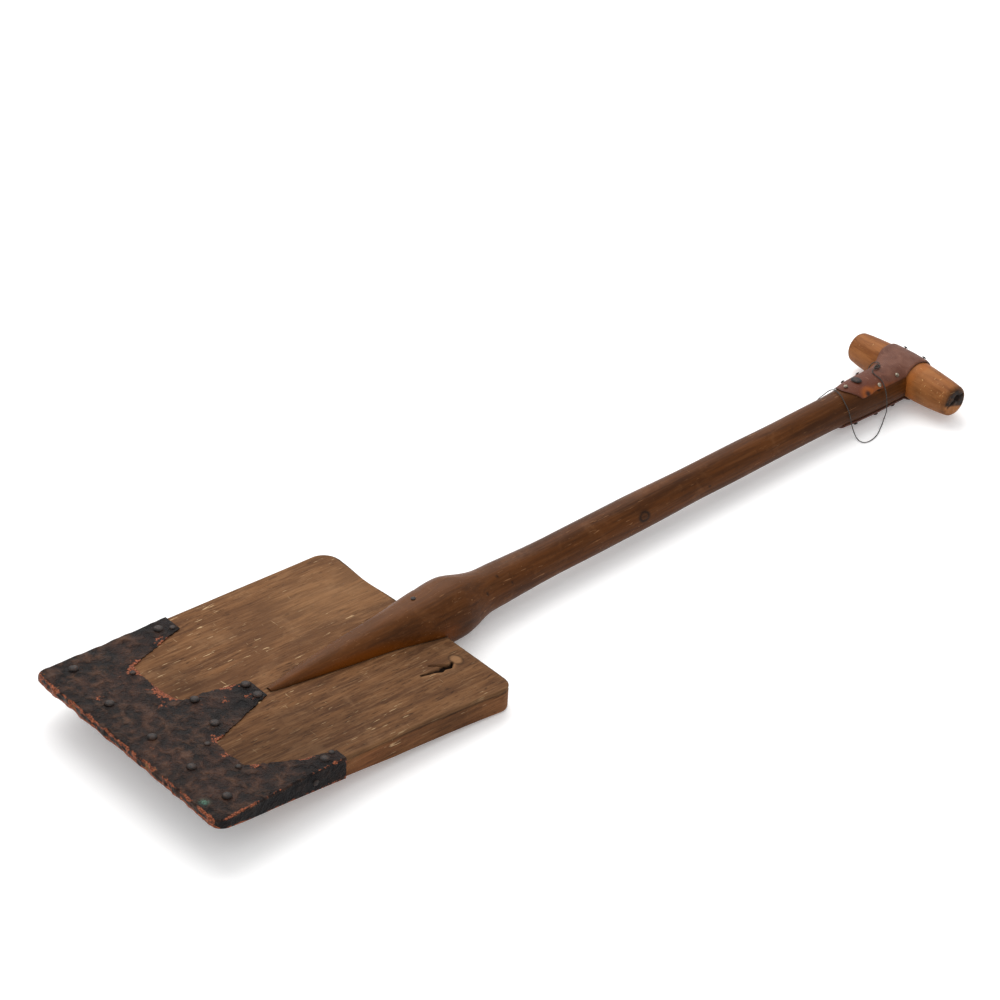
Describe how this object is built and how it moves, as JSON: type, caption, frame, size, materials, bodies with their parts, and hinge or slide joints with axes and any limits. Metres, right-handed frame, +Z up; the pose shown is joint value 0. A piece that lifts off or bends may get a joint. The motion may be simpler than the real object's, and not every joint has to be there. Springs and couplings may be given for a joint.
{
  "type": "wooden grain shovel",
  "caption": "Wooden grain shovel: flat board blade shod with sheet copper, a tapered shaft let into it, and a barrel cross grip under a nailed leather strap.",
  "frame": {"origin": "middle of the shovel's footprint, on the ground", "axes": "+Y along the shovel from the blade's front edge to the grip, +X across the blade, +Z up"},
  "size_m": [0.2858, 1.0324, 0.0606],
  "materials": {
    "blade_wood": "dry, worn, scratched",
    "shaft_wood": "smooth, polished by use",
    "grip_wood": "worn satin",
    "copper_sheet": "dark brown patina, bright at the edges",
    "strap_leather": "dark brown, cracked",
    "nail_iron": "dark, rusted",
    "tack_iron": "dull",
    "string_fibre": "matt twisted fibre"
  },
  "bodies": {
    "root": {"blade_board": "blade_wood", "copper_shoe": "copper_sheet", "grip_bar": "grip_wood", "grip_strap": "strap_leather", "shaft": "shaft_wood", "shoe_nail_centre_arm_1": "nail_iron", "shoe_nail_centre_arm_2": "nail_iron", "shoe_nail_centre_foot_1": "nail_iron", "shoe_nail_centre_foot_2": "nail_iron", "shoe_nail_far_arm_1": "nail_iron", "shoe_nail_flange_far": "nail_iron", "shoe_nail_flange_near": "nail_iron", "shoe_nail_front_1": "nail_iron", "shoe_nail_front_2": "nail_iron", "shoe_nail_front_3": "nail_iron", "shoe_nail_front_4": "nail_iron", "shoe_nail_front_5": "nail_iron", "shoe_nail_near_arm_1": "nail_iron", "shoe_nail_tack_1": "nail_iron", "shoe_nail_tack_2": "nail_iron", "shoe_nail_tack_3": "nail_iron", "shoe_nail_tack_4": "nail_iron", "shoe_nail_tack_5": "nail_iron", "strap_nail_large": "tack_iron", "strap_tack_back_far": "tack_iron", "strap_tack_back_near": "tack_iron", "strap_tack_top_front": "tack_iron", "strap_tack_top_front_far": "tack_iron", "strap_tack_top_middle": "tack_iron", "strap_tack_top_middle_far": "tack_iron", "strap_tack_top_rear": "tack_iron", "strap_tack_under_front": "tack_iron", "strap_tack_under_middle": "tack_iron", "strap_tack_under_rear": "tack_iron", "string": "string_fibre", "string_knot": "string_fibre", "tenon_wedge": "blade_wood", "tongue_nail_top": "nail_iron", "tongue_nail_under_1": "nail_iron", "tongue_nail_under_2": "nail_iron"}
  },
  "joints": []
}
